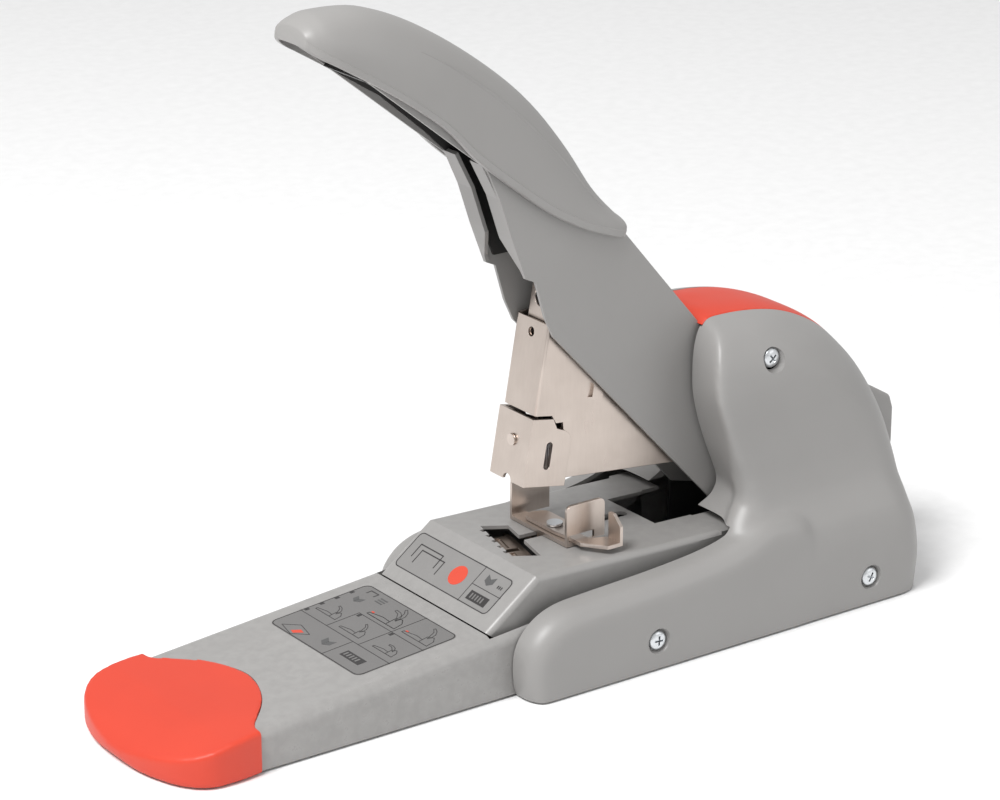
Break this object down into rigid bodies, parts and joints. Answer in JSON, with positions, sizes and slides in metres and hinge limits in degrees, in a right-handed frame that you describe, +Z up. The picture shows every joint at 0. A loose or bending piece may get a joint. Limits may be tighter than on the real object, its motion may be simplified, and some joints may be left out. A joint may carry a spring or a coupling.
{
  "type": "long reach stapler",
  "caption": "Heavy-duty long reach desk stapler with a raised grip lever, hinged head, sprung table, clincher wings and a sliding paper stop.",
  "frame": {"origin": "on the desk, at the centre of the footprint of the whole stapler with its handle raised", "axes": "+X from the nose to the rear, +Y across to the stapler's right, +Z up"},
  "size_m": [0.363, 0.109, 0.2676],
  "materials": {
    "grey_paint": "satin warm grey powder coat on folded steel",
    "grey_plastic": "fine grained satin grey moulding",
    "orange_soft_plastic": "satin orange-red moulding",
    "nickel_steel": "dull nickel plate with fine drawing lines",
    "bright_steel": "bright zinc",
    "zinc_steel": "dull zinc plate",
    "hardened_steel": "dark hardened steel",
    "staple_wire": "galvanised wire",
    "black_steel": "black coated steel",
    "black_plastic": "black moulding",
    "black_rubber": "matte black rubber"
  },
  "bodies": {
    "base": {"folded_base": "grey_paint", "nose_cap": "orange_soft_plastic", "bottom_plate": "zinc_steel", "rubber_feet": "black_rubber", "base_angle_strips": "zinc_steel", "table_hinge_pins": "bright_steel", "table_pin_brackets": "zinc_steel", "table_springs": "bright_steel", "anvil_block": "hardened_steel", "clincher_pins": "bright_steel", "chassis_frame": "black_steel", "main_axle": "bright_steel", "axle_clips": "black_steel", "axle_bushes": "black_plastic", "lever_spring": "bright_steel", "stop_bar": "zinc_steel", "housing_right": "grey_plastic", "housing_left": "grey_plastic", "top_insert": "orange_soft_plastic", "screws_right": "bright_steel", "screws_left": "bright_steel"},
    "table": {"table_cover": "grey_paint"},
    "left_wing": {"clincher_wing_left": "hardened_steel"},
    "right_wing": {"clincher_wing_right": "hardened_steel"},
    "paper_stop": {"stop_bracket": "nickel_steel", "stop_guide": "nickel_steel", "stop_rivet": "bright_steel"},
    "stop_release": {"stop_release_lever": "nickel_steel"},
    "head": {"magazine_channel": "nickel_steel", "upper_front_cover": "nickel_steel", "lower_front_cover": "nickel_steel", "cover_rivet": "nickel_steel", "magazine_spacer": "zinc_steel"},
    "staple_slide": {"staple_rail": "zinc_steel", "staple_strip": "staple_wire", "pusher_rod": "bright_steel", "pusher_spring": "bright_steel", "magazine_tail": "grey_plastic"},
    "pusher": {"staple_pusher": "black_plastic"},
    "driver": {"driver_blade": "hardened_steel", "driver_carrier": "zinc_steel", "link_low_pin": "bright_steel"},
    "lever": {"lever_frame": "grey_paint", "lever_liner": "black_plastic", "drive_bracket": "zinc_steel", "link_top_pin": "bright_steel", "grip_cover": "grey_plastic", "grip_screws": "bright_steel"},
    "link": {"drive_link": "zinc_steel"}
  },
  "joints": [
    {"name": "lever_press", "type": "hinge", "parent": "base", "child": "lever", "pos_m": [0.1144, 0, 0.05125], "axis": [0, -1, 0], "range_deg": [0, 27], "stiffness_Nm_per_rad": 2, "springref_deg": -57.3},
    {"name": "head_close", "type": "hinge", "parent": "base", "child": "head", "pos_m": [0.1144, 0, 0.05125], "axis": [0, -1, 0], "range_deg": [0, 10.7]},
    {"name": "driver_stroke", "type": "slide", "parent": "head", "child": "driver", "axis": [-0.1762, 0, -0.9844], "range_m": [0, 0.033]},
    {"name": "link_swing", "type": "hinge", "parent": "lever", "child": "link", "pos_m": [0.036, 0, 0.149], "axis": [0, -1, 0], "range_deg": [0, 26]},
    {"name": "table_sink", "type": "hinge", "parent": "base", "child": "table", "pos_m": [0.08, 0, 0.033], "axis": [0, -1, 0], "range_deg": [0, 1.7], "stiffness_Nm_per_rad": 30, "springref_deg": -5.73, "deforming": ["table_springs"]},
    {"name": "left_wing_fold", "type": "hinge", "parent": "base", "child": "left_wing", "pos_m": [-0.00645, -0.00388, 0.0352], "axis": [-0.9711, 0.2385, 0], "range_deg": [0, 5.2]},
    {"name": "right_wing_fold", "type": "hinge", "parent": "base", "child": "right_wing", "pos_m": [-0.00455, 0.00388, 0.0352], "axis": [0.9711, -0.2385, 0], "range_deg": [0, 5.2]},
    {"name": "paper_stop_slide", "type": "slide", "parent": "table", "child": "paper_stop", "axis": [0.9996, 0, -0.03], "range_m": [0, 0.024]},
    {"name": "stop_release_squeeze", "type": "hinge", "parent": "paper_stop", "child": "stop_release", "pos_m": [0.014, -0.003, 0.046], "axis": [0, 0, 1], "range_deg": [0, 5], "stiffness_Nm_per_rad": 0.1, "springref_deg": -11.46},
    {"name": "magazine_pull", "type": "slide", "parent": "head", "child": "staple_slide", "axis": [0.9947, 0, -0.103], "range_m": [0, 0.06]},
    {"name": "pusher_travel", "type": "slide", "parent": "staple_slide", "child": "pusher", "axis": [0.9947, 0, -0.103], "range_m": [0, 0.035], "stiffness_N_per_m": 60, "springref_m": -0.05, "deforming": ["pusher_spring"]}
  ],
  "couplings": [
    {"joint": "head_close", "follows": "lever_press", "ratio": 0.393},
    {"joint": "driver_stroke", "follows": "lever_press", "m_per_rad": 0.069573},
    {"joint": "link_swing", "follows": "lever_press", "ratio": 0.9},
    {"joint": "left_wing_fold", "follows": "table_sink", "ratio": 3},
    {"joint": "right_wing_fold", "follows": "table_sink", "ratio": 3}
  ]
}
